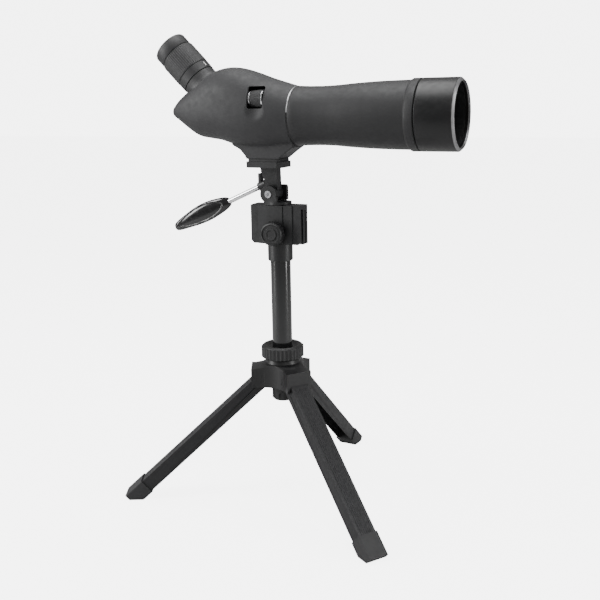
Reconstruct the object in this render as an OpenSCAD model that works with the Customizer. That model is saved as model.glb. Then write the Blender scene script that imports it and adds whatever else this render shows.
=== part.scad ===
// Angled spotting scope with a zoom eyepiece, on a folding table-top tripod with a pan-and-tilt
// head. Millimetres. The column axis is the Z axis, the feet stand on z = 0, and the scope points
// along +X with its focus roller and the clamp knob on the -Y side.

/* [Tripod] */
// Distance from the column axis to a leg's hinge pin
hinge_r = 24; // [22:0.5:26]
// Height of the leg hinge pins
hinge_z = 147; // [145:0.5:149]
// Angle of a splayed leg below the horizontal
leg_slope = 42.5; // [40:0.5:45]
// Width of a leg channel
leg_w = 22; // [20:0.5:24]
// Depth of a leg channel
leg_t = 16.5; // [15:0.5:18]
// Wall of a leg channel
leg_wall = 1.8; // [1.4:0.1:2.4]
// Direction of the first leg, seen from above
leg_azimuth = 85.2; // [60:0.1:110]
// Diameter of the column
column_d = 23; // [22:0.5:24]
// Outer diameter of the lock collar
collar_d = 50; // [47:0.5:52]
// Height of the lock collar's top face
collar_top = 188.4; // [187:0.1:190]

/* [Head] */
// Height of the clamp block's underside
block_z = 307; // [305:0.5:310]
// Height of the clamp block
block_h = 44; // [40:0.5:46]
// Width of the clamp block
block_w = 61; // [56:0.5:64]
// Height of the tilt pivot
pivot_z = 362.8; // [362:0.1:364]
// Distance of the tilt pivot behind the column axis
pivot_back = 7.5; // [6:0.5:9]
// Angle of the pan handle below the horizontal
handle_slope = 24; // [20:0.5:28]

/* [Scope] */
// Height of the optical axis
axis_z = 447.5; // [446:0.5:450]
// Outer diameter of the sunshade
hood_d = 74; // [72:0.5:76]
// Distance from the column axis to the sunshade's rim
rim_x = 206.2; // [204:0.1:208]
// Distance from the column axis to the joint of housing and tube
seam_x = 24.5; // [23:0.5:26]
// Angle between the eyepiece and the tube
eyepiece_angle = 45; // [40:1:50]
// Distance behind the column axis where the eyepiece axis meets the tube axis
elbow_back = 56; // [54:0.5:58]
// Outer diameter of the zoom ring
zoom_d = 42; // [40:0.5:44]

/* [Hidden] */
$fn = 64;
fit = 0.05;          // radial clearance of a running fit
gap = 0.3;           // clearance between pieces that move past each other
eps = 0.5;           // how far a cutting shape runs past a face
column_r = column_d / 2;
column_bore = column_r - 1.4;
bushing_r = column_r + 1.7;
column_foot = 124;   // height of the column's lower end
hub_bottom = 139.5;
hub_rim_z = 162;
hub_r = 37;
lobe_w = 30;
foot_len = 27;
foot_lip = 1.5;
// distance along the leg from its hinge to the foot's outer face
leg_len = (187.5 - hinge_r) * cos(leg_slope) + hinge_z * sin(leg_slope);
block_top = block_z + block_h;
tube_fit = 0.02;

module at_leg(i) {
    rotate([0, 0, leg_azimuth + 120 * (i - 1)]) children();
}
// the leg's own frame: X along the leg from the hinge, Z out of its top face
module leg_frame(i) {
    at_leg(i) translate([hinge_r, 0, hinge_z]) rotate([0, leg_slope, 0]) children();
}
module tube(r_out, r_in, h) {
    difference() {
        cylinder(r = r_out, h = h);
        translate([0, 0, -eps]) cylinder(r = r_in, h = h + 2 * eps);
    }
}
module box(lo, hi) {
    translate(lo) cube(hi - lo);
}
// a block with its four upright edges rounded
module round_block(lo, hi, r) {
    translate([0, 0, lo[2]]) linear_extrude(hi[2] - lo[2])
        hull() for (x = [lo[0] + r, hi[0] - r], y = [lo[1] + r, hi[1] - r])
            translate([x, y]) circle(r = r, $fn = 24);
}
// ring of revolution about the optical axis: points are [x, radius]
module on_axis(points) {
    translate([0, 0, axis_z]) rotate([90, 0, 90]) rotate_extrude()
        polygon([for (p = points) [p[1], p[0]]]);
}
// ring of revolution about the eyepiece axis: points are [distance from the elbow, radius]
module eyepiece_frame() {
    translate([-elbow_back, 0, axis_z]) rotate([0, -(90 - eyepiece_angle), 0]) children();
}
module on_eyepiece(points) {
    eyepiece_frame() rotate_extrude() polygon([for (p = points) [p[1], p[0]]]);
}

// ---- tripod ----
module hub() {
    slot_w = leg_w + 2 * gap;
    scallop_r = 33.1;
    scallop_at = 54.8;
    color("#2b2b2d") difference() {
        union() {
            intersection() {
                translate([0, 0, hub_bottom]) linear_extrude(40) difference() {
                    circle(r = hub_r + 4);
                    for (i = [1:3]) rotate(leg_azimuth + 60 + 120 * i) translate([scallop_at, 0])
                        circle(r = scallop_r);
                }
                for (i = [1:3]) at_leg(i) box([-1, -20, hub_bottom - 1], [hub_r, 20, 180]);
                rotate_extrude() polygon([[0, hub_bottom], [hub_r + 5, hub_bottom],
                    [hub_r + 5, hub_rim_z], [hub_r - 1, hub_rim_z], [28, 163.6], [20.5, 167.5],
                    [19, 172.6], [0, 172.6]]);
            }
            translate([0, 0, 171]) cylinder(r = 16.5, h = 10);
            rotate_extrude() polygon([[0, 122], [12.8, 122], [14.6, 124.5], [14.6, 141], [0, 141]]);
        }
        translate([0, 0, 120]) cylinder(r = bushing_r, h = 70);
        for (i = [1:3]) at_leg(i) {
            translate([0, slot_w / 2, 0]) rotate([90, 0, 0]) linear_extrude(slot_w) {
                translate([hinge_r, hinge_z]) circle(r = leg_t / 2 + gap);
                translate([hinge_r, hinge_z]) rotate(-leg_slope) translate([0, -30]) square([50, 30 + leg_t / 2 + gap]);
                translate([hinge_r - leg_t / 2 - 1, 120]) square([30, hinge_z - 1.7 - 120]);
            }
            translate([hinge_r, 20, hinge_z]) rotate([90, 0, 0]) cylinder(r = 2, h = 40);
        }
    }
}
module column_bushing() {
    slit_w = 1.6;
    color("#1d1d1f") difference() {
        translate([0, 0, 123.5]) cylinder(r = bushing_r, h = 58.5);
        translate([0, 0, 120]) cylinder(r = column_r + fit, h = 70);
        for (a = [0, 90]) rotate([0, 0, a]) box([-20, -slit_w / 2, 168], [20, slit_w / 2, 190]);
    }
}
module lock_collar() {
    collar_h = 15.7;
    bottom = collar_top - collar_h;
    ribs = 36;
    r = collar_d / 2;
    color("#222224") difference() {
        union() {
            translate([0, 0, bottom]) rotate_extrude() polygon([[0, 0], [r - 2.4, 0], [r - 1, 1.4],
                [r - 1, collar_h - 2.4], [r - 2.6, collar_h - 0.6], [r - 4, collar_h],
                [r - 6, collar_h - 0.6], [column_r + 3, collar_h - 3.4], [0, collar_h - 3.4]]);
            for (i = [0:ribs - 1]) rotate([0, 0, i * 360 / ribs]) translate([r - 1.6, 0, bottom + 1.2])
                cylinder(r = 1.25, h = collar_h - 3.4, $fn = 6);
        }
        translate([0, 0, bottom - eps]) cylinder(r = 16.8, h = 9);
        translate([0, 0, bottom + 2]) cylinder(r = bushing_r + 0.3, h = 7.9);
        translate([0, 0, bottom - eps]) cylinder(r = column_r + 0.4, h = 20);
    }
}
module column_tube() {
    color("#111112") difference() {
        translate([0, 0, column_foot]) cylinder(r = column_r, h = block_z - column_foot);
        translate([0, 0, column_foot - eps]) cylinder(r = column_bore, h = 200);
    }
}
module column_end_plug() {
    color("#1d1d1f") union() {
        translate([0, 0, column_foot]) cylinder(r = column_bore, h = 12);
        translate([0, 0, column_foot - 2.5]) cylinder(r = column_r - 0.4, h = 2.5);
    }
}
// the plain channel of a leg, cut off level a little above the ground
module leg_channel(i) {
    leg_end = leg_len - 4;
    sole = 2.4;
    intersection() {
        leg_frame(i) difference() {
            union() {
                rotate([90, 0, 0]) translate([0, 0, -leg_w / 2]) cylinder(r = leg_t / 2, h = leg_w);
                box([0, -leg_w / 2, -leg_t / 2], [leg_end, leg_w / 2, leg_t / 2]);
            }
            box([-20, -leg_w / 2 + leg_wall, -20], [leg_end + 5, leg_w / 2 - leg_wall, leg_t / 2 - leg_wall]);
        }
        translate([0, 0, sole]) cylinder(r = 300, h = 300);
    }
}
module leg(i) {
    grooves = 7;
    color("#3a3a3d") difference() {
        leg_channel(i);
        leg_frame(i) {
            translate([0, 20, 0]) rotate([90, 0, 0]) cylinder(r = 2 + fit, h = 40);
            for (g = [0:grooves - 1]) translate([14, (g - (grooves - 1) / 2) * 2.4 - 0.35, leg_t / 2 - 0.4])
                cube([leg_len, 0.7, 1]);
        }
    }
}
module foot(i) {
    w = leg_w + 2 * foot_lip;
    t = leg_t + 2 * foot_lip;
    color("#232325") difference() {
        intersection() {
            leg_frame(i) translate([leg_len - foot_len, 0, 0]) rotate([0, 90, 0])
                round_block([-t / 2, -w / 2, 0], [t / 2, w / 2, foot_len], 2);
            cylinder(r = 300, h = 100);
        }
        leg_channel(i);
    }
}
module leg_pin(i) {
    color("#9a9a9c") at_leg(i) translate([hinge_r, lobe_w / 2 - 0.6, hinge_z]) rotate([90, 0, 0])
        cylinder(r = 2, h = lobe_w - 1.2);
}

// ---- head: clamp block on the column ----
jaw_front = -12.6;
jaw_back = -8.5;
body_front = -3.6;
body_back = 8.7;
knob_z = 320;
guide_x = 21;
guide_z = 341;

module along_y(x, z, y0, y1, r) {
    translate([x, y1, z]) rotate([90, 0, 0]) cylinder(r = r, h = y1 - y0);
}
module column_sleeve() {
    color("#2e2e30") difference() {
        translate([0, 0, 287]) rotate_extrude() polygon([[0, 0], [13.1, 0], [14.2, 1.3], [14.2, 20], [0, 20]]);
        translate([0, 0, 280]) cylinder(r = column_r, h = 40);
    }
}
module clamp_body() {
    half_w = block_w / 2;
    color("#29292b") difference() {
        union() {
            box([-half_w, body_front, block_z], [half_w, body_back, block_top]);
            box([-half_w, jaw_back + gap, block_top - 4.5], [half_w, body_back, block_top]);
            intersection() {
                translate([0, 0, block_z - 10]) cylinder(r = column_bore, h = 11);
                box([-20, body_front, block_z - 12], [20, body_back, block_z + 1]);
            }
        }
        along_y(0, knob_z, -20, 20, 5.5);
        for (x = [-guide_x, guide_x]) along_y(x, guide_z, -20, 20, 2 + fit);
        translate([0, 0, block_top - 14]) cylinder(r = 2.5, h = 20);
        box([-half_w - 1, 1.2, block_z - 1], [-half_w + 1.6, 3.4, block_top - 6]);
        box([half_w - 1.6, 1.2, block_z - 1], [half_w + 1, 3.4, block_top - 6]);
    }
}
module clamp_body_pad() {
    color("#151515") difference() {
        box([-28, body_front - 1.2, block_z + 2], [28, body_front, block_top - 6]);
        along_y(0, knob_z, -20, 20, 5.5);
        for (x = [-guide_x, guide_x]) along_y(x, guide_z, -20, 20, 2.6);
    }
}
module clamp_nut() {
    color("#b08d4a") difference() {
        along_y(0, knob_z, body_front + 0.2, 3.4, 5.5);
        along_y(0, knob_z, -20, 20, 3 + fit);
    }
}
module clamp_jaw() {
    half_w = block_w / 2;
    color("#29292b") difference() {
        union() {
            box([-half_w, jaw_front + 1, block_z + gap], [half_w, jaw_back, block_top - 0.4]);
            box([-21, jaw_front, block_z + gap], [21, jaw_back, block_top - 0.4]);
            box([-9.5, jaw_front - 0.8, block_z + gap], [9.5, jaw_back, block_top - 0.4]);
        }
        along_y(0, knob_z, -20, 0, 3 + fit);
        for (x = [-guide_x, guide_x]) along_y(x, guide_z, -11, 0, 2);
        for (s = [-1, 1]) translate([s * half_w, 0, block_z]) rotate([0, 45, 0]) cube([5, 60, 5], center = true);
    }
}
module clamp_jaw_pad() {
    color("#151515") difference() {
        box([-28, jaw_back, block_z + 3], [28, jaw_back + 1.2, block_top - 7]);
        along_y(0, knob_z, -20, 0, 3.6);
        for (x = [-guide_x, guide_x]) along_y(x, guide_z, -20, 0, 2.6);
    }
}
module clamp_guide_pins() {
    color("#a8a8aa") for (x = [-guide_x, guide_x]) along_y(x, guide_z, -11, 8, 2);
}
module clamp_screw() {
    color("#a8a8aa") union() {
        along_y(0, knob_z, -20, 8, 3);
        along_y(0, knob_z, -14.6, -13.7, 6);
    }
}
module clamp_knob() {
    color("#202022") difference() {
        union() {
            translate([0, -14.6, knob_z]) rotate([90, 0, 0]) rotate_extrude() polygon([[0, 0], [10.5, 0],
                [13.1, 1.6], [13.1, 8.6], [12, 10.2], [10.6, 10.9], [9.9, 9.9], [7.6, 9.9],
                [6.9, 10.9], [4.6, 10.9], [3.9, 10.1], [0, 10.1]]);
            for (a = [0:15:345]) translate([0, -14.6, knob_z]) rotate([90, a, 0])
                translate([12.8, 0, 2]) cylinder(r = 0.9, h = 6.4, $fn = 6);
        }
        along_y(0, knob_z, -20, 0, 3);
    }
}

// ---- head: pan base, tilt platform and handle ----
ear_y = [-13, -9];
far_ear_y = [9, 14];
base_z = block_top + 0.1;
platform_z = [392, 398.5];
pad_top = 401.5;
rod_s = 24.9;        // how far the rod's exit is behind the column axis
rod_exit_z = 369.2;
grip_start = 40.6;
grip_end = 124.5;
socket_x = -25.3;

module pan_base() {
    color("#2a2a2c") difference() {
        union() {
            translate([0, 0, base_z]) cylinder(r = 14, h = 3);
            along_y(-pivot_back, pivot_z, ear_y[0], ear_y[1], 9.8);
            box([-13, ear_y[0], base_z], [3, ear_y[1], pivot_z - 3]);
            box([-14, far_ear_y[0], base_z + 4], [5, far_ear_y[1], pivot_z + 9.2]);
            box([-12, 6, base_z], [3, far_ear_y[1], base_z + 5]);
        }
        translate([0, 0, base_z - 5]) cylinder(r = 2.5 + fit, h = 20);
        translate([0, 0, base_z + 1.6]) cylinder(r = 4.6, h = 10);
        along_y(-pivot_back, pivot_z, -20, 20, 2.5);
        along_y(-pivot_back, pivot_z, -20, ear_y[0] + 1.6, 4);
        along_y(-pivot_back, pivot_z, -9, 9, 8.8);
        for (x = [-14, 5]) translate([x, 11.5, pivot_z + 9.2]) rotate([0, 45, 0]) cube([2.4, 8, 2.4], center = true);
    }
}
module pan_bolt() {
    color("#a8a8aa") union() {
        translate([0, 0, block_top - 14]) cylinder(r = 2.5, h = 15.8);
        translate([0, 0, base_z + 1.7]) cylinder(r = 4.3, h = 1.2);
    }
}
module tilt_bolt() {
    color("#d8d8da") difference() {
        union() {
            along_y(-pivot_back, pivot_z, ear_y[0], 18, 2.5);
            along_y(-pivot_back, pivot_z, ear_y[0] - 0.7, ear_y[0] + 1.6, 4);
        }
        translate([-pivot_back, ear_y[0] + 1.2, pivot_z]) rotate([90, 0, 0]) cylinder(r = 1.9, h = 5, $fn = 6);
    }
}
module tilt_nut() {
    color("#a8a8aa") difference() {
        translate([-pivot_back, 17.6, pivot_z]) rotate([90, 0, 0]) cylinder(r = 4.6, h = 3.6, $fn = 6);
        along_y(-pivot_back, pivot_z, 10, 20, 2.5);
    }
}
// line of the handle rod, running outwards from its exit
module rod_frame() {
    translate([-rod_s, 0, rod_exit_z]) rotate([0, -(90 + handle_slope), 0]) children();
}
module platform() {
    neck = [[-20.4, 393], [-19.4, 387], [-15.6, 378], [-14.6, 368], [-10, 361], [-4, 361], [0.6, 368],
        [0.6, 374], [0, 393]];
    color("#343437") difference() {
        union() {
            translate([0, 5.5, 0]) rotate([90, 0, 0]) linear_extrude(11) polygon(neck);
            along_y(-pivot_back, pivot_z, -8.7, 8.7, 8.3);
            translate([0, 0, platform_z[0]]) linear_extrude(platform_z[1] - platform_z[0])
                polygon([[-34.5, -11], [-29.5, -16], [5, -16], [10, -11], [10, 11], [5, 16], [-29.5, 16], [-34.5, 11]]);
            rod_frame() translate([0, 0, -10]) cylinder(r = 5, h = 9.5);
            box([-24, -4, 371], [-21, 4, 385]);
            box([-22, -4, 371], [-15, 4, 376]);
        }
        along_y(-pivot_back, pivot_z, -20, 20, 2.5 + fit);
        rod_frame() translate([0, 0, -12]) cylinder(r = 3 + fit, h = 20);
        translate([socket_x, 0, platform_z[0] - 1]) cylinder(r = 5.6, h = 4);
        translate([socket_x, 0, platform_z[0]]) cylinder(r = 3.2, h = 10);
    }
}
module platform_pad() {
    color("#1a1a1b") difference() {
        round_block([-31.5, -14, platform_z[1]], [7.5, 14, pad_top], 3);
        translate([socket_x, 0, platform_z[1] - 1]) cylinder(r = 3.6, h = 5);
    }
}
module camera_screw() {
    color("#b8b8ba") difference() {
        union() {
            translate([socket_x, 0, platform_z[0] + 0.4]) cylinder(r = 5.5, h = 2.6);
            translate([socket_x, 0, platform_z[0] + 2]) cylinder(r = 3.15, h = 13.5);
        }
        box([socket_x - 8, -0.8, platform_z[0]], [socket_x + 8, 0.8, platform_z[0] + 1.6]);
    }
}
module handle_rod() {
    color("#c9c9cc") rod_frame() translate([0, 0, -11]) cylinder(r = 3, h = grip_start + 40);
}
module handle_grip() {
    grip_t = 11;
    blind = grip_start + 29 + 0.1;
    color("#1b1b1d") rod_frame() difference() {
        translate([0, grip_t / 2, 0]) rotate([90, 0, 0]) linear_extrude(grip_t) difference() {
            hull() {
                translate([0, grip_start + 6.5]) circle(r = 6.5, $fn = 32);
                translate([0.5, grip_start + 34]) circle(r = 11, $fn = 32);
                translate([0, grip_start + 50]) circle(r = 10.4, $fn = 32);
                translate([-0.6, grip_end - 5.4]) circle(r = 5.4, $fn = 32);
            }
            translate([3.5, grip_start - 2]) circle(r = 4.5);
        }
        cylinder(r = 3, h = blind);
        for (s = [-1, 1]) translate([0, s * (grip_t / 2 - 0.7) + 0.75, 0]) rotate([90, 0, 0])
            linear_extrude(1.5) hull() {
                translate([0, grip_start + 16]) circle(r = 2, $fn = 24);
                translate([0.4, grip_start + 38]) circle(r = 7.2, $fn = 24);
                translate([-0.4, grip_end - 9]) circle(r = 1.8, $fn = 24);
            }
    }
}

// ---- scope body ----
hood_r = hood_d / 2;
wall = 2.6;
turret_end = 46;     // distance along the eyepiece axis to the eyepiece's seat
barrel_r = 17;
zoom_r = zoom_d / 2;
roller_y = -24;
roller_z = 466;
roller_x = [-18.4, -2.2];
roller_r = 9.8;
gear_spread = 12;      // distance between the roller shaft and the lead screw
screw_k = 1 - gear_spread / norm([roller_y, roller_z - axis_z]);
screw_y = roller_y * screw_k;
screw_z = axis_z + (roller_z - axis_z) * screw_k;

// housing outline: [x, top, bottom, half width, how square the section is]
STATIONS = [[24.5, 32.3, -32.3, 32.3, 2], [10, 36.6, -33.5, 34.4, 2.05], [-6, 41.4, -34.6, 36, 2.15],
    [-22, 47, -34.4, 36.8, 2.25], [-38, 51.6, -33, 36.6, 2.3], [-52, 53.4, -30.2, 35.8, 2.3],
    [-66, 51.6, -26.2, 34.2, 2.3], [-80, 46.6, -24.2, 31.6, 2.3], [-94, 38.4, -21.6, 28.2, 2.3],
    [-106, 29.4, -14.4, 24.4, 2.3], [-117, 21, -6.4, 20.2, 2.3], [-124, 13, -1.4, 16.6, 2.3]];
// a cubic through the stations, so that the skin runs smoothly through each of them
function along(t, k) =
    let (n = len(STATIONS), i = min(floor(t), n - 2), f = t - i,
        p0 = STATIONS[max(i - 1, 0)][k], p1 = STATIONS[i][k], p2 = STATIONS[i + 1][k],
        p3 = STATIONS[min(i + 2, n - 1)][k])
    p1 + f * (p2 - p0) / 2 + f * f * (2 * p0 - 5 * p1 + 4 * p2 - p3) / 2
        + f * f * f * (3 * p1 - p0 - 3 * p2 + p3) / 2;
function signed_pow(v, e) = sign(v) * pow(abs(v), e);
function section(t, inset, sides) =
    let (x = along(t, 0), top = along(t, 1) - inset, low = along(t, 2) + inset,
        w = along(t, 3) - inset, e = 2 / along(t, 4), mid = (top + low) / 2, h = (top - low) / 2)
    [for (j = [0:sides - 1]) let (a = j * 360 / sides)
        [x, w * signed_pow(cos(a), e), axis_z + mid + h * signed_pow(sin(a), e)]];
module housing_loft(inset, rings, sides, t0, t1) {
    points = [for (i = [0:rings - 1]) each section(t0 + (t1 - t0) * i / (rings - 1), inset, sides)];
    skin = [for (i = [0:rings - 2], j = [0:sides - 1])
        [i * sides + j, i * sides + (j + 1) % sides, (i + 1) * sides + (j + 1) % sides, (i + 1) * sides + j]];
    front = [[for (j = [0:sides - 1]) sides - 1 - j]];
    rear = [[for (j = [0:sides - 1]) (rings - 1) * sides + j]];
    polyhedron(points, concat(skin, front, rear), convexity = 4);
}
module prism_housing() {
    last = len(STATIONS) - 1;
    saddle = [[-32.5, 401.6], [-34.4, 405.6], [-40.5, 411.8], [-50, 417], [-50, 424], [30, 424], [30, 417.6],
        [24.2, 414], [16.4, 408.8], [7, 401.6]];
    color("#3b3b3e") difference() {
        union() {
            housing_loft(0, 23, 36, 0, last);
            translate([0, 15, 0]) rotate([90, 0, 0]) linear_extrude(30) polygon(saddle);
            eyepiece_frame() translate([0, 0, 14]) cylinder(r = 21.4, h = turret_end - 14);
        }
        housing_loft(wall, 14, 24, 0.12, last - 0.25);
        on_axis([[22, 0], [22, 29.6], [40, 29.6], [40, 0]]);
        on_axis([[seam_x, 28], [seam_x, 60], [60, 60], [60, 28]]);
        eyepiece_frame() translate([0, 0, turret_end]) cylinder(r = 22, h = 60);
        eyepiece_frame() translate([0, 0, 20]) cylinder(r = barrel_r + tube_fit, h = 40);
        box([roller_x[0] - 1, -60, 456.2], [roller_x[1] + 1, roller_y + 9, 479.5]);
        box([-31.4, -14, 400], [6, 14, 404]);
        translate([socket_x, 0, 400]) cylinder(r = 5.5, h = 12);
        cage_foot();
    }
}
module mounting_foot() {
    color("#2b2b2d") difference() {
        box([-31.4, -14, pad_top], [6, 14, 404]);
        translate([socket_x, 0, 395]) cylinder(r = 5.5, h = 20);
    }
}
module tripod_bushing() {
    color("#b08d4a") difference() {
        translate([socket_x, 0, 402]) cylinder(r = 5.5, h = 10);
        translate([socket_x, 0, 400]) cylinder(r = 3.175, h = 10.5);
    }
}
module seam_band() {
    color("#8f8f92") on_axis([[seam_x + 0.01, 30.2], [seam_x + 0.01, 31.9], [seam_x + 1.4, 31.9],
        [seam_x + 1.4, 30.2]]);
}
module objective_tube() {
    color("#333336") on_axis([[seam_x + 1.4, 30.2], [seam_x + 1.4, 31.6], [seam_x + 3, 31.9], [40, 31.3],
        [56, 31.1], [72, 31.7], [88, 33], [104, 34], [122, 34.8], [140, 35.2], [154.4, 35.4],
        [155.4, 36.5], [156.6, 37], [164, 37], [164.6, 36.4], [164.6, 34.6], [155.6, 34.6], [155.6, 32.4],
        [104, 31.6], [80, 30], [60, 28.6], [22, 28.6], [22, 29.58], [seam_x + 0.01, 29.58],
        [seam_x + 0.01, 30.2]]);
}
module front_barrel() {
    color("#18181a") on_axis([[155.6, 31.1], [155.6, 34.6], [200.4, 34.6], [200.4, 33.2], [186, 33.2],
        [186, 31.1]]);
}
// a lens turned about the optical axis, with its two faces of the same curve
module lens(middle, thick, rim_r, curve_r) {
    steps = 8;
    function bulge(r) = thick / 2 - curve_r + sqrt(curve_r * curve_r - r * r);
    on_axis(concat([for (i = [0:steps]) let (r = rim_r * i / steps) [middle - bulge(r), r]],
        [for (i = [0:steps]) let (r = rim_r * (steps - i) / steps) [middle + bulge(r), r]]));
}
module objective_lens() {
    color("#5f7f8f", 0.4) lens(174, 10, 31.08, 160);
}
module lens_retainer() {
    color("#1b1b1c") on_axis([[179.5, 28.8], [179.5, 31.08], [186, 31.08], [186, 33.18], [188, 33.18],
        [188, 31.4], [183, 28.8]]);
}
module sunshade() {
    r_in = 34.6 + fit;
    color("#161617") on_axis([[165.2, r_in], [165.2, hood_r - 0.8], [166, hood_r], [rim_x - 3, hood_r],
        [rim_x - 2.2, hood_r - 0.5], [rim_x, 34.4], [rim_x, 33.4], [rim_x - 2.6, 33], [rim_x - 2.6, r_in]]);
}
module tube_baffles() {
    color("#121213") {
        for (b = [[66, 28.9, 25], [92, 30.6, 26.5], [122, 31.8, 28]])
            on_axis([[b[0], b[2]], [b[0], b[1]], [b[0] + 1.6, b[1]], [b[0] + 0.6, b[2]]]);
    }
}
// where the prism cage stands in the housing's floor
module cage_foot() {
    box([-44, -6, 415.2], [-34, 6, 431.5]);
}
module prism_cage() {
    color("#4a4a4c") {
        difference() {
            box([-66, -17, 431], [-26.2, 17, 468]);
            box([-80, -14, 433.5], [0, 14, 480]);
            along_y(-40, 449, -30, 30, 9);
            eyepiece_frame() translate([0, 0, 14]) cylinder(r = barrel_r + 1, h = 60);
        }
        cage_foot();
    }
}
module prism_block(points) {
    translate([0, 13.8, 0]) rotate([90, 0, 0]) linear_extrude(27.6) polygon(points);
}
module front_prism() {
    color("#9fb4bd", 0.4) prism_block([[-28, 433.6], [-28, 461], [-42.5, 446.5]]);
}
module rear_prism() {
    color("#9fb4bd", 0.4) prism_block([[-44.6, 446.5], [-31.5, 459.6], [-46, 464], [-64.5, 446.5], [-55, 433.6]]);
}

// ---- focusing ----
gear_teeth = 14;
gear_x = [-22.4, -19.6];
plate_x = [-26.2, -23.7];
front_plate_x = [1.6, 4.1];
bar_y = [-8, -4];
bar_z = [19.5, 23];
carriage_x = [11, 17];
focus_lens_r = 15.8;
mesh_angle = atan2(screw_z - roller_z, screw_y - roller_y);

module along_x(y, z, x0, x1, r) {
    translate([x0, y, z]) rotate([0, 90, 0]) cylinder(r = r, h = x1 - x0);
}
// straight-flanked teeth: [radius, half angle] at the root and at the tip
module gear(phase) {
    root = [4.9, 7];
    tip = [6.75, 3.1];
    linear_extrude(gear_x[1] - gear_x[0]) {
        circle(r = 5);
        for (i = [0:gear_teeth - 1]) rotate((i + phase) * 360 / gear_teeth)
            polygon([for (q = [[root[0], -root[1]], [tip[0], -tip[1]], [tip[0], tip[1]], [root[0], root[1]]])
                [q[0] * cos(q[1]), q[0] * sin(q[1])]]);
    }
}
// puts a drawing made in the XY plane across the X axis, with its own X axis along the mesh line
module across_x(y, z, angle) {
    translate([gear_x[0], y, z]) rotate([angle, 0, 0]) rotate([90, 0, 90]) children();
}
module focus_roller() {
    ribs = 40;
    color("#29292b") difference() {
        union() {
            along_x(roller_y, roller_z, roller_x[0] + 1.4, roller_x[1] - 1.4, roller_r - 0.4);
            for (i = [0:ribs - 1]) translate([roller_x[0] + 2, roller_y, roller_z])
                rotate([i * 360 / ribs, 0, 0]) translate([0, 0, roller_r - 0.5]) rotate([0, 90, 0])
                    cylinder(r = 0.45, h = roller_x[1] - roller_x[0] - 4, $fn = 4);
        }
        along_x(roller_y, roller_z, -40, 20, 2);
    }
}
module roller_rings() {
    color("#d0d0d4") difference() {
        union() {
            along_x(roller_y, roller_z, roller_x[0], roller_x[0] + 1.4, roller_r);
            along_x(roller_y, roller_z, roller_x[1] - 1.4, roller_x[1], roller_r);
        }
        along_x(roller_y, roller_z, -40, 20, 2);
    }
}
module roller_shaft() {
    color("#a8a8aa") union() {
        along_x(roller_y, roller_z, plate_x[0] + 0.3, front_plate_x[1] - 0.3, 2);
        across_x(roller_y, roller_z, mesh_angle) gear(0);
    }
}
module lead_screw() {
    color("#a8a8aa") union() {
        along_x(screw_y, screw_z, plate_x[0] + 0.3, 23.4, 2);
        across_x(screw_y, screw_z, mesh_angle) gear(0.5);
    }
}
module focus_bracket() {
    module plate(x) {
        along_x(roller_y, roller_z, x[0], x[1], 3);
        along_x(screw_y, screw_z, x[0], x[1], 4);
        translate([x[0], roller_y, roller_z]) rotate([mesh_angle, 0, 0])
            box([0, 0, -2.6], [x[1] - x[0], gear_spread - 2.7, 2.6]);
        box([x[0], screw_y + 1.1, screw_z - 1.7], [x[1], bar_y[1], axis_z + bar_z[1]]);
    }
    color("#4a4a4c") difference() {
        union() {
            plate(plate_x);
            plate(front_plate_x);
            box([plate_x[0], bar_y[0], axis_z + bar_z[0]], [23.4, bar_y[1], axis_z + bar_z[1]]);
        }
        along_x(roller_y, roller_z, -40, 30, 2 + fit);
        along_x(screw_y, screw_z, -40, 30, 2 + fit);
    }
}
module focus_carriage() {
    color("#8d8d90") difference() {
        on_axis([[carriage_x[0], focus_lens_r], [carriage_x[0], 24.6], [carriage_x[1], 24.6],
            [carriage_x[1], focus_lens_r]]);
        along_x(screw_y, screw_z, 0, 40, 2 + fit);
        box([0, bar_y[0] - gap, axis_z + bar_z[0] - gap], [40, bar_y[1] + gap, axis_z + 40]);
    }
}
module focusing_lens() {
    color("#7f98a4", 0.4) lens((carriage_x[0] + carriage_x[1]) / 2, 5.6, focus_lens_r, 90);
}

// ---- eyepiece: distances are measured from the elbow along the eyepiece axis ----
neck_end = 57.8;
index_end = 67.9;
zoom_start = 68.1;
zoom_end = 96.2;
barrel_end = 104;
cup_start = 96.7;
cup_end = 111;

module eyepiece_neck() {
    color("#2a2a2c") on_eyepiece([[turret_end, barrel_r + tube_fit], [turret_end, 21.2], [turret_end + 1.6, 20.6],
        [turret_end + 5, 20], [neck_end - 0.6, 20], [neck_end, 19.4], [neck_end, barrel_r + tube_fit]]);
}
module index_ring() {
    color("#222224") on_eyepiece([[neck_end, barrel_r + tube_fit], [neck_end, 19.4], [neck_end + 0.5, 20.4],
        [index_end - 0.6, 20.6], [index_end, 20], [index_end, barrel_r + tube_fit]]);
}
module eyepiece_barrel() {
    color("#1a1a1b") on_eyepiece([[24, 13.4], [24, barrel_r], [96.5, barrel_r], [96.5, 15.5],
        [barrel_end, 15.5], [barrel_end, 12.4], [102.6, 12.4], [102.6, 13.6], [98, 13.6], [98, 14.4],
        [40, 14.4], [40, 13.4]]);
}
module zoom_ring() {
    ribs = 60;
    color("#29292b") difference() {
        union() {
            on_eyepiece([[zoom_start, 10], [zoom_start, 20], [zoom_start + 0.8, zoom_r - 0.4],
                [zoom_end - 0.8, zoom_r - 0.4], [zoom_end, 19.8], [zoom_end, 10]]);
            for (i = [0:ribs - 1]) eyepiece_frame() rotate([0, 0, i * 360 / ribs])
                translate([zoom_r - 0.9, 0, zoom_start + 1.6]) cylinder(r = 0.8, h = zoom_end - zoom_start - 3.2, $fn = 6);
        }
        eyepiece_frame() cylinder(r = barrel_r + fit, h = 140);
    }
}
module zoom_lens_group() {
    color("#7f98a4", 0.5) on_eyepiece([[56, 0], [56, 13], [54, 13], [54, 14.35], [74, 14.35], [74, 13],
        [72, 13], [72, 0], [68, 0], [68, 13], [60, 13], [60, 0]]);
}
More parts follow.
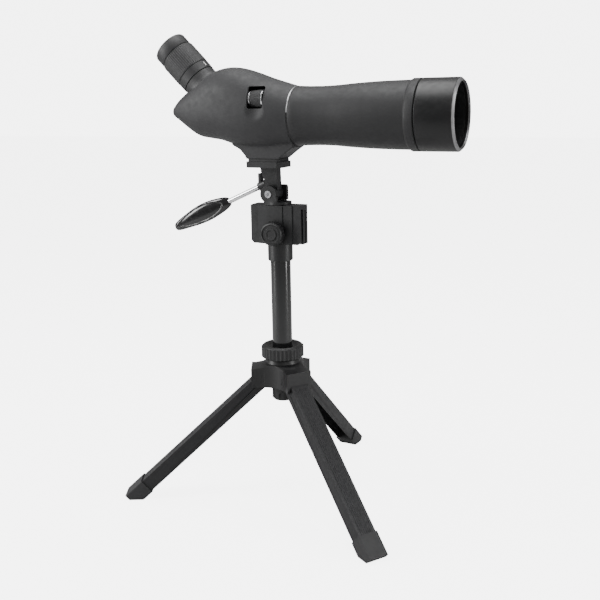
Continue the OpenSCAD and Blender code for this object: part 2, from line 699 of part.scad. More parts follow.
module eye_lens() {
    curve_r = 26;
    color("#5f7f8f", 0.4) intersection() {
        on_eyepiece([[98, 0], [98, 13.58], [102.58, 13.58], [102.58, 0]]);
        eyepiece_frame() translate([0, 0, 103.8 - curve_r]) sphere(r = curve_r, $fn = 96);
    }
}
module eyecup_sleeve() {
    color("#1a1a1b") on_eyepiece([[cup_start, 15.5 + fit], [cup_start, 17.4], [cup_start + 11.5, 17.4],
        [cup_start + 11.5, 15.5 + fit]]);
}
module eyecup() {
    color("#1f1f20") on_eyepiece([[cup_start, 17.4 + fit], [cup_start, 19.7], [cup_start + 1, 20.1],
        [cup_end - 2, 20.1], [cup_end - 0.6, 19.4], [cup_end, 18], [cup_end, 16.6], [cup_end - 0.8, 14.6],
        [cup_end - 2.2, 14], [cup_end - 2.2, 17.4 + fit]]);
}

// ---- what is drawn ----
hub();
column_bushing();
lock_collar();
column_tube();
column_end_plug();
leg(1);  // leg_1
leg(2);  // leg_2
leg(3);  // leg_3
foot(1);  // foot_1
foot(2);  // foot_2
foot(3);  // foot_3
leg_pin(1);  // leg_pin_1
leg_pin(2);  // leg_pin_2
leg_pin(3);  // leg_pin_3
column_sleeve();
clamp_body();
clamp_body_pad();
clamp_guide_pins();
clamp_nut();
clamp_jaw();
clamp_jaw_pad();
clamp_screw();
clamp_knob();
pan_base();
pan_bolt();
tilt_bolt();
tilt_nut();
platform();
platform_pad();
camera_screw();
handle_rod();
handle_grip();
prism_housing();
mounting_foot();
tripod_bushing();
seam_band();
objective_tube();
front_barrel();
objective_lens();
lens_retainer();
sunshade();
tube_baffles();
prism_cage();
front_prism();
rear_prism();
focus_roller();
roller_rings();
roller_shaft();
lead_screw();
focus_bracket();
focus_carriage();
focusing_lens();
eyepiece_neck();
index_ring();
eyepiece_barrel();
zoom_ring();
zoom_lens_group();
eye_lens();
eyecup_sleeve();
eyecup();
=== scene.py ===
"""Looks of the spotting scope on its table-top tripod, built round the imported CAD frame."""
import math

import bmesh
import bpy
from mathutils import Matrix, Vector


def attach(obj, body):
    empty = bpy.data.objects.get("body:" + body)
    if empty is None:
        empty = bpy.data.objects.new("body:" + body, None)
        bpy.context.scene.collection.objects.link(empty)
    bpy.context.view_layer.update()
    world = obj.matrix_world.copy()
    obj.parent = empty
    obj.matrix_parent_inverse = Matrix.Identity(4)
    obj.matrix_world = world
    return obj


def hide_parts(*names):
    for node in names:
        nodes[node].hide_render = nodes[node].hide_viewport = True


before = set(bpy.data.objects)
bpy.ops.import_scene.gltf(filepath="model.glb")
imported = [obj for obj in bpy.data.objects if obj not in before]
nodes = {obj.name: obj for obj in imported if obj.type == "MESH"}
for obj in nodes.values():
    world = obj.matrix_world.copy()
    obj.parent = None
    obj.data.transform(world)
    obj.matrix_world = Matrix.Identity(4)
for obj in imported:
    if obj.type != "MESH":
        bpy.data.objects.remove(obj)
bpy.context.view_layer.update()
MM = 0.001


# ---- sizes repeated from the CAD source, in millimetres ----
AXIS_Z = 447.5          # height of the optical axis
SEAM_X = 24.5           # joint of housing and tube
ELBOW = -56.0           # where the eyepiece axis meets the tube axis
EYE_TILT = 45.0         # eyepiece axis above the tube axis
TURRET_END = 46.0       # seat of the eyepiece, along its axis
SEAT_R = 21.4           # turret that carries the eyepiece
BARREL_BORE = 17.02     # radius of the bore for the eyepiece barrel
WALL = 2.6              # thickness of the housing
ROD_AT = (-24.9, 0.0, 369.2)                # root of the handle rod
ROD_SLOPE = 24.0        # rod below the horizontal
GRIP = (40.6, 124.5)    # start and end of the grip along the rod
WINDOW = (-19.4, -1.2, 456.2, 479.5)        # x and z limits of the roller's window
SOCKET_X = -25.3        # axis of the tripod bushing and the camera screw
LEG_AZIMUTH = 85.2      # direction of the first leg, seen from above
LEG_SLOPE = 42.5        # legs below the horizontal
FOOT_X = (-31.4, 6)     # ends of the mounting foot's pocket
RECESS_R = 29.6         # hollow behind the tube's joint
SEAT_CUT_R = 22
ROD_HOLE_R = 3.02
VOXEL = 0.75            # fineness of the housing's skin before it is eased
EASE_ROUNDS = 7
# housing outline: x, top, bottom, half width, how square the section is
STATIONS = [
    (24.5, 32.3, -32.3, 32.3, 2), (10, 36.6, -33.5, 34.4, 2.05), (-6, 41.4, -34.6, 36, 2.15),
    (-22, 47, -34.4, 36.8, 2.25), (-38, 51.6, -33, 36.6, 2.3), (-52, 53.4, -30.2, 35.8, 2.3),
    (-66, 51.6, -26.2, 34.2, 2.3), (-80, 46.6, -24.2, 31.6, 2.3), (-94, 38.4, -21.6, 28.2, 2.3),
    (-106, 29.4, -14.4, 24.4, 2.3), (-117, 21, -6.4, 20.2, 2.3), (-124, 13, -1.4, 16.6, 2.3)]
SADDLE = [
    (-32.5, 401.6), (-34.4, 405.6), (-40.5, 411.8), (-50, 417), (-50, 424), (30, 424), (30, 417.6),
    (24.2, 414), (16.4, 408.8), (7, 401.6)]


# ---- mesh helpers ----
def mesh_object(name, points, faces, scale=MM):
    """A mesh object from points in millimetres, its faces turned outwards."""
    mesh = bpy.data.meshes.new(name)
    mesh.from_pydata([tuple(c * scale for c in p) for p in points], [], faces)
    work = bmesh.new()
    work.from_mesh(mesh)
    bmesh.ops.recalc_face_normals(work, faces=work.faces)
    work.to_mesh(mesh)
    work.free()
    mesh.validate()
    obj = bpy.data.objects.new(name, mesh)
    bpy.context.scene.collection.objects.link(obj)
    return obj


def bake(obj):
    """Applies the object's modifiers to its mesh."""
    bpy.context.view_layer.update()
    evaluated = obj.evaluated_get(bpy.context.evaluated_depsgraph_get())
    done = bpy.data.meshes.new_from_object(evaluated)
    obj.modifiers.clear()
    obj.data = done


def drop(obj):
    bpy.data.objects.remove(obj, do_unlink=True)


def grid_faces(rings, sides):
    """Faces of a closed tube of rings, with an end cap at either end."""
    skin = []
    for i in range(rings - 1):
        for j in range(sides):
            k = (j + 1) % sides
            skin.append((i * sides + j, i * sides + k, (i + 1) * sides + k, (i + 1) * sides + j))
    return skin + [tuple(range(sides)), tuple((rings - 1) * sides + j for j in range(sides))]


def lathe(name, profile, place, sides=96):
    """A closed solid of revolution: profile is [distance along the axis, radius] from axis to axis."""
    points = []
    for s, r in profile:
        points += [place(s, r, 2 * math.pi * j / sides) for j in range(sides)]
    return mesh_object(name, points, grid_faces(len(profile), sides))


def on_tube(s, r, a):
    return (s, r * math.cos(a), AXIS_Z + r * math.sin(a))


def on_eyepiece(s, r, a):
    """A point of the eyepiece: distance from the elbow, radius, and angle from its upper side."""
    t = math.radians(EYE_TILT)
    along = (-math.sin(t), 0.0, math.cos(t))
    up = (math.cos(t), 0.0, math.sin(t))
    return (ELBOW + s * along[0] + r * math.cos(a) * up[0], r * math.sin(a),
            AXIS_Z + s * along[2] + r * math.cos(a) * up[2])


def prism(name, outline, y0, y1):
    """A prism of a convex or simple outline in the XZ plane, from y0 to y1."""
    n = len(outline)
    points = [(x, y0, z) for x, z in outline] + [(x, y1, z) for x, z in outline]
    faces = [tuple(range(n)), tuple(n + j for j in range(n))]
    faces += [(j, (j + 1) % n, n + (j + 1) % n, n + j) for j in range(n)]
    return mesh_object(name, points, faces)


def rounded_outline(x0, x1, z0, z1, r, steps=6):
    out = []
    corners = ((x1 - r, z1 - r, 0), (x0 + r, z1 - r, 90), (x0 + r, z0 + r, 180), (x1 - r, z0 + r, 270))
    for cx, cz, a0 in corners:
        for k in range(steps + 1):
            a = math.radians(a0 + 90 * k / steps)
            out.append((cx + r * math.cos(a), cz + r * math.sin(a)))
    return out


def boolean(obj, cutter, operation="DIFFERENCE"):
    mod = obj.modifiers.new(operation.lower(), "BOOLEAN")
    mod.operation = operation
    mod.solver = "EXACT"
    mod.object = cutter
    bake(obj)
    drop(cutter)


def smooth_by_angle(obj, degrees):
    """Smooth faces, with the edges sharper than the angle kept sharp."""
    mesh = obj.data
    work = bmesh.new()
    work.from_mesh(mesh)
    limit = math.radians(degrees)
    for edge in work.edges:
        edge.smooth = len(edge.link_faces) == 2 and edge.calc_face_angle(0.0) < limit
    for face in work.faces:
        face.smooth = True
    work.to_mesh(mesh)
    work.free()


# ---- housing ----
def along(t, k):
    """A cubic through the stations."""
    i = min(int(t), len(STATIONS) - 2)
    f = t - i
    p1, p2 = STATIONS[i][k], STATIONS[i + 1][k]
    p0 = STATIONS[max(i - 1, 0)][k]
    p3 = STATIONS[min(i + 2, len(STATIONS) - 1)][k]
    return (p1 + f * (p2 - p0) / 2 + f * f * (2 * p0 - 5 * p1 + 4 * p2 - p3) / 2
            + f ** 3 * (3 * p1 - p0 - 3 * p2 + p3) / 2)


def signed_pow(v, e):
    return math.copysign(abs(v) ** e, v)


def loft(name, inset, rings, sides, t0, t1, nose=0.0):
    """The housing's outline, inset by so much. nose adds a straight length in front."""
    points = []
    ts = [t0 + (t1 - t0) * i / (rings - 1) for i in range(rings)]
    if nose:
        ts = [None] + ts
    for t in ts:
        q = t0 if t is None else t
        x = along(q, 0) + (nose if t is None else 0)
        top, low = along(q, 1) - inset, along(q, 2) + inset
        w, e = along(q, 3) - inset, 2 / along(q, 4)
        for j in range(sides):
            a = 2 * math.pi * j / sides
            points.append((x, w * signed_pow(math.cos(a), e),
                           AXIS_Z + (top + low) / 2 + (top - low) / 2 * signed_pow(math.sin(a), e)))
    return mesh_object(name, points, grid_faces(len(ts), sides))


def build_housing():
    last = len(STATIONS) - 1
    body = loft("housing_shell", 0, 70, 112, 0, last, nose=3)
    top = TURRET_END + 3
    turret = lathe("turret", [(14, 0.01), (14, SEAT_R), (top, SEAT_R), (top, 0.01)], on_eyepiece)
    boolean(body, turret, "UNION")
    boolean(body, prism("saddle", SADDLE, -15, 15), "UNION")
    remesh = body.modifiers.new("remesh", "REMESH")
    remesh.mode = "VOXEL"
    remesh.voxel_size = VOXEL * MM
    ease = body.modifiers.new("ease", "SMOOTH")
    ease.factor = 0.5
    ease.iterations = EASE_ROUNDS
    bake(body)
    # the thumb scoop under the roller's window
    centre, radius, depth = Vector((-10.3, 0, 454)) * MM, 10.5 * MM, 2.2 * MM
    for v in body.data.vertices:
        if v.co.y < -20 * MM:
            d = math.hypot((v.co.x - centre.x) / 1.15, (v.co.z - centre.z) / 1.1) / radius
            if d < 1:
                v.co.y += depth * (1 - d * d) ** 2
    boolean(body, prism("front_cut", [(SEAM_X, 400), (60, 400), (60, 500), (SEAM_X, 500)], -60, 60))
    boolean(body, lathe("front_recess", [(22, 0.01), (22, RECESS_R), (40, RECESS_R), (40, 0.01)], on_tube))
    for name, start, end, radius in (("seat_cut", TURRET_END, 90, SEAT_CUT_R), ("bore", 20, 80, BARREL_BORE)):
        profile = [(start, 0.01), (start, radius), (end, radius), (end, 0.01)]
        boolean(body, lathe(name, profile, on_eyepiece))
    boolean(body, loft("hollow", WALL, 40, 72, 0.12, last - 0.25))
    boolean(body, prism("window", rounded_outline(*WINDOW, 2.2), -60, -15))
    x0, x1 = FOOT_X
    boolean(body, prism("foot_recess", [(x0, 395), (x1, 395), (x1, 404), (x0, 404)], -14, 14))
    boolean(body, lathe("socket", [(395, 0.01), (395, 5.5), (412, 5.5), (412, 0.01)],
                        lambda s, r, a: (SOCKET_X + r * math.cos(a), r * math.sin(a), s), 48))
    edge = body.modifiers.new("edge", "BEVEL")
    edge.width = 0.35 * MM
    edge.segments = 2
    edge.limit_method = "ANGLE"
    edge.angle_limit = math.radians(50)
    bake(body)
    smooth_by_angle(body, 48)
    return body


# ---- handle grip: a leaf with a sunk panel on either side ----
def build_grip():
    t = math.radians(90 + ROD_SLOPE)
    out = Vector((-math.sin(t), 0, math.cos(t)))
    up = Vector((math.cos(t), 0, math.sin(t)))
    rings, sides = 150, 112
    points = []
    for i in range(rings):
        u = (1 - math.cos(math.pi * i / (rings - 1))) / 2
        s = GRIP[0] + (GRIP[1] - GRIP[0]) * u
        # a leaf: widest a little past the middle, blunt at the rod and rounder at the tip
        swell = 5.9 + 5.0 * math.sin(math.pi * min(1.0, u * 1.04)) ** 1.15 + 0.4 * math.sin(2 * math.pi * u)
        blunt = max(1 - abs(2 * u - 1) ** 14, 0.0) ** 0.5
        half = max(swell * blunt, 0.05)
        mid = 0.9 * math.sin(math.pi * u) - 0.7 * u
        thick = max(5.4 * blunt * (0.74 + 0.26 * math.sin(math.pi * u)), 0.05)
        for j in range(sides):
            a = 2 * math.pi * j / sides
            x = half * signed_pow(math.cos(a), 0.8)
            y = thick * signed_pow(math.sin(a), 0.7)
            inner = max(half - 2.6, 0.3)
            d = (x / inner) ** 2 + ((s - 85.0) / 33.0) ** 4
            if d < 1.25 and abs(y) > 1.5:
                k = min(1.0, (1.25 - d) / 0.35)
                y -= math.copysign(1.5 * k * k * (3 - 2 * k), y)
            p = Vector(ROD_AT) + out * s + up * (x + mid) + Vector((0, y, 0))
            points.append(tuple(p))
    grip = mesh_object("grip_leaf", points, grid_faces(rings, sides))
    n = 40
    notch = [tuple(Vector(ROD_AT) + out * (GRIP[0] - 2 + 4.5 * math.sin(2 * math.pi * k / n))
                   + up * (3.5 + 4.5 * math.cos(2 * math.pi * k / n)) + Vector((0, y, 0)))
             for y in (-9, 9) for k in range(n)]
    boolean(grip, mesh_object("notch", notch, grid_faces(2, n)))
    rod = [tuple(Vector(ROD_AT) + out * s + up * (ROD_HOLE_R * math.cos(2 * math.pi * k / n))
                 + Vector((0, ROD_HOLE_R * math.sin(2 * math.pi * k / n), 0)))
           for s in (GRIP[0] - 5, GRIP[0] + 29) for k in range(n)]
    boolean(grip, mesh_object("rod_hole", rod, grid_faces(2, n)))
    smooth_by_angle(grip, 40)
    return grip


def build_index_mark():
    """The small raised mark that the zoom scale is read against."""
    centre, half, r0, r1 = math.radians(-14), math.radians(1.9), 20.45, 20.72
    points = []
    cols, rows = 5, 2
    for r in (r0, r1):
        for s in (60.2, 65.2):
            for k in range(cols):
                points.append(on_eyepiece(s, r, centre - half + 2 * half * k / (cols - 1)))
    faces = []
    for layer in (0, cols * rows):
        faces += [(layer + k, layer + k + 1, layer + cols + k + 1, layer + cols + k) for k in range(cols - 1)]
    rim = list(range(cols)) + list(range(2 * cols - 1, cols - 1, -1))
    faces += [(rim[k], rim[(k + 1) % len(rim)], rim[(k + 1) % len(rim)] + cols * rows, rim[k] + cols * rows)
              for k in range(len(rim))]
    return mesh_object("index_mark", points, faces)


# ---- materials ----
class Paint:
    """A node material being put together."""

    def __init__(self, name):
        self.mat = bpy.data.materials.new(name)
        self.mat.use_nodes = True
        self.tree = self.mat.node_tree
        self.skin = self.tree.nodes["Principled BSDF"]
        self.place = self.add("ShaderNodeTexCoord").outputs["Object"]

    def add(self, kind, **values):
        node = self.tree.nodes.new(kind)
        for key, value in values.items():
            setattr(node, key, value)
        return node

    def link(self, a, b):
        self.tree.links.new(a, b)

    def noise(self, scale, detail=3.0, rough=0.5, place=None):
        node = self.add("ShaderNodeTexNoise")
        node.inputs["Scale"].default_value = scale
        node.inputs["Detail"].default_value = detail
        node.inputs["Roughness"].default_value = rough
        self.link(place or self.place, node.inputs["Vector"])
        return node.outputs["Fac"]

    def cells(self, scale, place=None):
        node = self.add("ShaderNodeTexVoronoi")
        node.inputs["Scale"].default_value = scale
        self.link(place or self.place, node.inputs["Vector"])
        return node.outputs["Distance"]

    def span(self, value, lo, hi, to_lo=0.0, to_hi=1.0):
        node = self.add("ShaderNodeMapRange")
        for key, v in zip(("From Min", "From Max", "To Min", "To Max"), (lo, hi, to_lo, to_hi)):
            node.inputs[key].default_value = v
        self.link(value, node.inputs["Value"])
        return node.outputs["Result"]

    def mix(self, factor, a, b):
        node = self.add("ShaderNodeMix", data_type="RGBA")
        self.link(factor, node.inputs[0])
        for socket, v in ((node.inputs[6], a), (node.inputs[7], b)):
            if isinstance(v, tuple):
                socket.default_value = (*v, 1.0)
            else:
                self.link(v, socket)
        return node.outputs[2]

    def stretch(self, scale, turn=(0, 0, 0)):
        node = self.add("ShaderNodeMapping")
        node.inputs["Scale"].default_value = scale
        node.inputs["Rotation"].default_value = [math.radians(a) for a in turn]
        self.link(self.place, node.inputs["Vector"])
        return node.outputs["Vector"]

    def math(self, operation, a, b):
        node = self.add("ShaderNodeMath", operation=operation)
        for socket, v in zip(node.inputs, (a, b)):
            if isinstance(v, (int, float)):
                socket.default_value = v
            else:
                self.link(v, socket)
        return node.outputs[0]

    def bump(self, layers):
        """layers: (height, depth in metres, strength), the coarsest first."""
        last = None
        for height, depth, strength in layers:
            node = self.add("ShaderNodeBump")
            node.inputs["Distance"].default_value = depth
            node.inputs["Strength"].default_value = strength
            self.link(height, node.inputs["Height"])
            if last:
                self.link(last, node.inputs["Normal"])
            last = node.outputs["Normal"]
        self.link(last, self.skin.inputs["Normal"])

    def edges(self, lo=0.52, hi=0.6):
        """1 on worn, exposed edges and 0 elsewhere."""
        return self.span(self.add("ShaderNodeNewGeometry").outputs["Pointiness"], lo, hi)

    def set(self, **values):
        for key, v in values.items():
            socket = self.skin.inputs[key.replace("_", " ")]
            if isinstance(v, (int, float)):
                socket.default_value = v
            elif isinstance(v, tuple):
                socket.default_value = (*v, 1.0)
            else:
                self.link(v, socket)


def shade(c, k):
    return tuple(min(1.0, v * k) for v in c)


def rubber(name, base, rough=0.6, grain=2300, depth=0.05, wear=1.8, sheen=0.0):
    p = Paint(name)
    patch = p.span(p.noise(38, 4), 0.3, 0.7)
    body = p.mix(patch, shade(base, 0.95), shade(base, 1.05))
    body = p.mix(p.math("MULTIPLY", p.edges(), 0.5), body, shade(base, wear))
    body = p.mix(p.span(p.noise(5200, 2), 0.35, 0.7, 0, 0.25), body, shade(base, 0.6))
    p.set(Base_Color=body, Roughness=p.span(p.noise(160, 3), 0.3, 0.7, rough - 0.06, rough + 0.07),
          Specular_IOR_Level=0.42, Sheen_Weight=sheen, Sheen_Roughness=0.4)
    p.bump([(p.noise(260, 2), 0.00004, 0.25), (p.cells(grain), depth * MM, 0.5)])
    return p.mat


def plastic(name, base, rough=0.4, coat=0.0, grain=1800, depth=0.03, wear=2.4):
    p = Paint(name)
    body = p.mix(p.span(p.noise(55, 4), 0.3, 0.7), shade(base, 0.85), shade(base, 1.15))
    body = p.mix(p.math("MULTIPLY", p.edges(), 0.6), body, shade(base, wear))
    p.set(Base_Color=body, Roughness=p.span(p.noise(220, 3), 0.3, 0.7, rough - 0.05, rough + 0.06),
          Specular_IOR_Level=0.5, Coat_Weight=coat, Coat_Roughness=0.08)
    p.bump([(p.noise(grain, 4, 0.6), depth * MM, 0.4)])
    return p.mat


def metal(name, base, rough=0.3, along_axis=(1, 1, 1), turn=(0, 0, 0), metallic=1.0, depth=0.006, wear=1.5):
    """along_axis shrinks the scale along the direction in which the tool marks run."""
    p = Paint(name)
    place = p.stretch(along_axis, turn)
    lines = p.noise(2400, 3, 0.6, place)
    body = p.mix(p.span(lines, 0.3, 0.7), shade(base, 0.86), shade(base, 1.12))
    body = p.mix(p.math("MULTIPLY", p.edges(), 0.5), body, shade(base, wear))
    p.set(Base_Color=body, Metallic=metallic,
          Roughness=p.span(p.noise(300, 3, 0.5, place), 0.3, 0.7, rough * 0.8, rough * 1.25))
    p.bump([(lines, depth * MM, 0.5)])
    return p.mat


def hood_metal():
    """Satin black with turning marks, and a bright machined rim at the mouth."""
    p = Paint("hood_metal")
    axis = p.stretch((1.0, 0.02, 0.02))
    turned = p.noise(3200, 2, 0.5, axis)
    dark = p.mix(p.span(p.noise(60, 4), 0.3, 0.7), (0.0025, 0.0025, 0.003), (0.004, 0.004, 0.0045))
    split = p.add("ShaderNodeSeparateXYZ")
    p.link(p.place, split.inputs[0])
    rim = p.span(split.outputs["X"], 0.2037, 0.2041)
    rings = p.mix(p.span(turned, 0.3, 0.7), (0.2, 0.2, 0.205), (0.3, 0.3, 0.305))
    p.set(Base_Color=p.mix(rim, dark, rings), Metallic=p.math("MULTIPLY", rim, 0.85),
          Roughness=p.span(p.noise(180, 3), 0.3, 0.7, 0.36, 0.46), Specular_IOR_Level=0.5)
    p.bump([(turned, 0.00001, 0.45)])
    return p.mat


def seam_silver_and_painted_shade():
    """Silver over the upper part of the ring, with painted shade below it: a dark colour standing for the
    shadow in the groove.
    """
    p = Paint("seam_silver_and_painted_shade")
    split = p.add("ShaderNodeSeparateXYZ")
    p.link(p.place, split.inputs[0])
    # painted shade: below this height the ring gets a dark colour for the groove's shadow, above it the
    # silver band
    bright = p.span(split.outputs["Z"], 0.4515, 0.4530)
    marks = p.noise(2600, 3, 0.5, p.stretch((1.0, 0.05, 0.05)))
    silver = p.mix(p.span(marks, 0.3, 0.7), (0.5, 0.5, 0.51), (0.66, 0.66, 0.67))
    # the near-black colour is painted shade, the silver is the band's own colour
    p.set(Base_Color=p.mix(bright, (0.012, 0.012, 0.013), silver), Metallic=p.math("MULTIPLY", bright, 0.9),
          Roughness=p.span(marks, 0.3, 0.7, 0.28, 0.42))
    p.bump([(marks, 0.000006, 0.5)])
    return p.mat


def lens_glass(name, tint, coat):
    """Coated glass: a dark, clear body with a coloured bloom."""
    p = Paint(name)
    bloom = p.span(p.add("ShaderNodeLayerWeight").outputs["Facing"], 0.0, 0.9)
    p.set(Base_Color=p.mix(bloom, tint, coat), Roughness=p.span(p.noise(90, 2), 0.3, 0.7, 0.01, 0.03),
          IOR=1.5, Transmission_Weight=0.92, Coat_Weight=0.5, Coat_Roughness=0.02, Coat_Tint=coat)
    p.bump([(p.noise(35, 2), 0.000004, 0.3)])
    return p.mat


def leg_metal(name, azimuth):
    """Anodised channel with drawn lines along its length, in the direction that this leg points."""
    p = Paint(name)
    place = p.stretch((0.03, 1, 1))
    turn = place.node
    turn.vector_type = "POINT"
    spin = p.add("ShaderNodeMapping")
    spin.inputs["Rotation"].default_value = (0, 0, math.radians(-azimuth))
    p.link(p.place, spin.inputs["Vector"])
    tilt = p.add("ShaderNodeMapping")
    tilt.inputs["Rotation"].default_value = (0, math.radians(-LEG_SLOPE), 0)
    p.link(spin.outputs["Vector"], tilt.inputs["Vector"])
    p.link(tilt.outputs["Vector"], turn.inputs["Vector"])
    lines = p.noise(1500, 3, 0.6, place)
    body = p.mix(p.span(lines, 0.3, 0.7), (0.014, 0.014, 0.015), (0.025, 0.025, 0.0265))
    body = p.mix(p.math("MULTIPLY", p.edges(), 0.55), body, (0.05, 0.05, 0.052))
    p.set(Base_Color=body, Metallic=0.35,
          Roughness=p.span(p.noise(140, 3), 0.3, 0.7, 0.42, 0.55), Specular_IOR_Level=0.5)
    p.bump([(lines, 0.00002, 0.5), (p.noise(3000, 2), 0.00001, 0.3)])
    return p.mat


M = {
    "armour": rubber("armour_rubber", (0.025, 0.025, 0.0265), 0.58, 2300, 0.05, 1.6, 0.05),
    "tube": rubber("tube_rubber", (0.015, 0.015, 0.016), 0.54, 2300, 0.05, 1.5, 0.05),
    "hood": hood_metal(),
    "seam": seam_silver_and_painted_shade(),
    "plastic": plastic("black_plastic", (0.010, 0.010, 0.0105), 0.42),
    "block": plastic("clamp_plastic", (0.009, 0.009, 0.0095), 0.45, 0.0, 1500, 0.04, 2.6),
    "hub": plastic("hub_plastic", (0.010, 0.010, 0.0105), 0.4, 0.0, 1600, 0.03, 2.4),
    "collar": plastic("collar_plastic", (0.009, 0.009, 0.0095), 0.42, 0.0, 2000, 0.03, 2.2),
    "grip": plastic("gloss_grip", (0.006, 0.006, 0.0065), 0.16, 0.5, 900, 0.008, 2.0),
    "soft": rubber("soft_rubber", (0.025, 0.025, 0.026), 0.62, 1900, 0.06, 1.7),
    "eye": rubber("eyepiece_rubber", (0.025, 0.025, 0.026), 0.5, 2600, 0.03, 2.2),
    "column": plastic("column_paint", (0.0025, 0.0025, 0.0028), 0.17, 0.6, 700, 0.004, 1.6),
    "inner": metal("inner_aluminium", (0.006, 0.006, 0.0065), 0.55, (0.1, 1, 1), metallic=0.2),
    "steel": metal("machined_steel", (0.62, 0.62, 0.64), 0.3, (1, 0.2, 1)),
    "chrome": metal("chrome", (0.82, 0.82, 0.84), 0.16, (0.1, 1, 0.3), depth=0.002),
    "brass": metal("machined_brass", (0.62, 0.46, 0.2), 0.3, (1, 1, 0.2)),
    "lens": lens_glass("coated_lens", (0.25, 0.33, 0.36), (0.2, 0.42, 0.4)),
    "prism": lens_glass("prism_glass", (0.6, 0.68, 0.7), (0.5, 0.6, 0.66)),
    "mark": plastic("mark_paint", (0.72, 0.72, 0.7), 0.45, 0.0, 1800, 0.01, 1.1),
}
for k in (1, 2, 3):
    M[f"leg_{k}"] = leg_metal(f"leg_metal_{k}", LEG_AZIMUTH + 120 * (k - 1))

NODE_LOOKS = {
    "armour": ["prism_housing"], "tube": ["objective_tube"], "hood": ["sunshade"], "seam": ["seam_band"],
    "plastic": ["column_bushing", "column_end_plug", "column_sleeve", "platform", "eyecup_sleeve"],
    "block": ["clamp_body", "clamp_jaw", "clamp_knob", "pan_base"],
    "hub": ["hub", "leg_pin_1", "leg_pin_2", "leg_pin_3"], "collar": ["lock_collar"], "grip": ["handle_grip"],
    "soft": ["foot_1", "foot_2", "foot_3", "clamp_body_pad", "clamp_jaw_pad", "platform_pad"],
    "eye": ["zoom_ring", "eyecup", "focus_roller", "eyepiece_neck", "index_ring"], "column": ["column_tube"],
    "inner": ["mounting_foot", "front_barrel", "lens_retainer", "tube_baffles", "prism_cage", "focus_bracket",
              "focus_carriage", "eyepiece_barrel"],
    "steel": ["clamp_guide_pins", "pan_bolt", "tilt_nut", "camera_screw", "roller_shaft", "lead_screw",
              "clamp_screw", "tilt_bolt"],
    "chrome": ["handle_rod", "roller_rings"], "brass": ["clamp_nut", "tripod_bushing"],
    "lens": ["objective_lens", "focusing_lens", "zoom_lens_group", "eye_lens"],
    "prism": ["front_prism", "rear_prism"],
    "leg_1": ["leg_1"], "leg_2": ["leg_2"], "leg_3": ["leg_3"],
}
# rounding of the edges in millimetres, where it is more than a trace
BEVELS = {"hub": 0.7, "clamp_body": 0.7, "clamp_jaw": 0.6, "pan_base": 0.6, "platform": 0.6,
          "leg_1": 0.5, "leg_2": 0.5, "leg_3": 0.5, "foot_1": 1.2, "foot_2": 1.2, "foot_3": 1.2,
          "sunshade": 0.25, "objective_tube": 0.3,
          "eyecup": 0.4, "column_sleeve": 0.3, "platform_pad": 0.4}


def finish_node(name):
    """Welds the corners that the CAD export left split, and rounds the edges a little."""
    obj = nodes[name]
    for poly in obj.data.polygons:
        poly.use_smooth = True
    if "custom_normal" in obj.data.attributes:
        obj.data.attributes.remove(obj.data.attributes["custom_normal"])
    weld = obj.modifiers.new("weld", "WELD")
    weld.merge_threshold = 0.004 * MM
    edge = obj.modifiers.new("edge", "BEVEL")
    edge.width = BEVELS.get(name, 0.15) * MM
    edge.segments = 3 if name in BEVELS else 1
    edge.limit_method = "ANGLE"
    edge.angle_limit = math.radians(32)
    edge.harden_normals = True
    edge.use_clamp_overlap = True


def paint(obj, key):
    obj.data.materials.clear()
    obj.data.materials.append(M[key])


look_of = {n: key for key, names in NODE_LOOKS.items() for n in names}
for name, obj in nodes.items():
    if name in ("prism_housing", "handle_grip"):
        continue
    paint(obj, look_of[name])
    finish_node(name)

housing = build_housing()
paint(housing, "armour")
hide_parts("prism_housing")
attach(housing, "scope")

grip = build_grip()
paint(grip, "grip")
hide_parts("handle_grip")
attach(grip, "handle")

mark = build_index_mark()
paint(mark, "mark")
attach(mark, "scope")

# ---- floor, light and camera ----
HALF = 9.0              # half the width of the floor, in metres
FLOOR_GLOW, WORLD_GLOW, WORLD_LIGHT = 5.2, 5.7, 0.32     # the glows are seen only by the camera
floor = mesh_object("floor", [(-HALF, -HALF, 0), (HALF, -HALF, 0), (HALF, HALF, 0), (-HALF, HALF, 0)],
                    [(0, 1, 2, 3)], scale=1)
fp = Paint("floor_pale")
seen = fp.add("ShaderNodeLightPath").outputs["Is Camera Ray"]
pale = fp.mix(fp.span(fp.noise(4, 2), 0.3, 0.7), (0.5, 0.5, 0.5), (0.54, 0.54, 0.54))
fp.set(Base_Color=pale, Roughness=0.95, Specular_IOR_Level=0.0, Emission_Color=(1, 1, 1),
       Emission_Strength=fp.span(seen, 0, 1, 0.0, FLOOR_GLOW))
floor.data.materials.append(fp.mat)

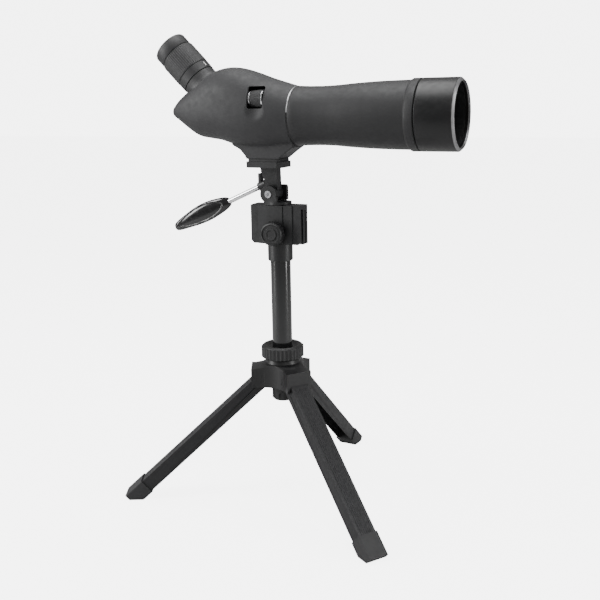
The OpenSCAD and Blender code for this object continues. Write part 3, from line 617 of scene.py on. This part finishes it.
world = bpy.data.worlds.new("studio")
bpy.context.scene.world = world
world.use_nodes = True
sky = world.node_tree.nodes["Background"]
sky.inputs["Color"].default_value = (1, 1, 1, 1)
ray = world.node_tree.nodes.new("ShaderNodeLightPath")
level = world.node_tree.nodes.new("ShaderNodeMapRange")
level.inputs["To Min"].default_value = WORLD_LIGHT
level.inputs["To Max"].default_value = WORLD_GLOW
world.node_tree.links.new(ray.outputs["Is Camera Ray"], level.inputs["Value"])
world.node_tree.links.new(level.outputs["Result"], sky.inputs["Strength"])


def softbox(name, place, target, size, power):
    lamp = bpy.data.lights.new(name, "AREA")
    lamp.shape = "RECTANGLE"
    lamp.size, lamp.size_y = size
    lamp.energy = power
    obj = bpy.data.objects.new(name, lamp)
    bpy.context.scene.collection.objects.link(obj)
    obj.location = place
    obj.rotation_euler = (Vector(target) - Vector(place)).to_track_quat("-Z", "Y").to_euler()


softbox("top_box", (0.0, 0.0, 1.7), (0, 0, 0.3), (1.2, 1.2), 24)
softbox("left_strip", (-1.05, -0.75, 0.7), (0, 0, 0.35), (0.3, 1.3), 15)
softbox("left_fill", (-1.3, -0.8, 1.0), (-0.05, 0, 0.42), (0.8, 0.8), 9)
softbox("right_strip", (1.15, 0.05, 0.6), (0, 0, 0.3), (0.22, 1.2), 9)
softbox("front_box", (1.2, -1.2, 1.1), (0.15, 0, 0.4), (0.6, 0.6), 3)

CAMERA_AT = Vector((0.4215, -0.8675, 0.4661))
FORWARD = Vector((-0.4060, 0.8848, -0.2285)).normalized()
ROLL = math.radians(-1.0)
FOCAL, SENSOR = 51.55, 36
right = FORWARD.cross(Vector((0, 0, 1))).normalized()
up = right.cross(FORWARD)
right, up = right * math.cos(ROLL) + up * math.sin(ROLL), up * math.cos(ROLL) - right * math.sin(ROLL)
lens = bpy.data.cameras.new("photo_camera")
lens.lens = FOCAL
lens.sensor_width = SENSOR
lens.clip_start = 0.01
camera = bpy.data.objects.new("photo_camera", lens)
bpy.context.scene.collection.objects.link(camera)
turn = Matrix((right, up, -FORWARD)).transposed().to_4x4()
camera.matrix_world = Matrix.Translation(CAMERA_AT) @ turn
bpy.context.scene.camera = camera
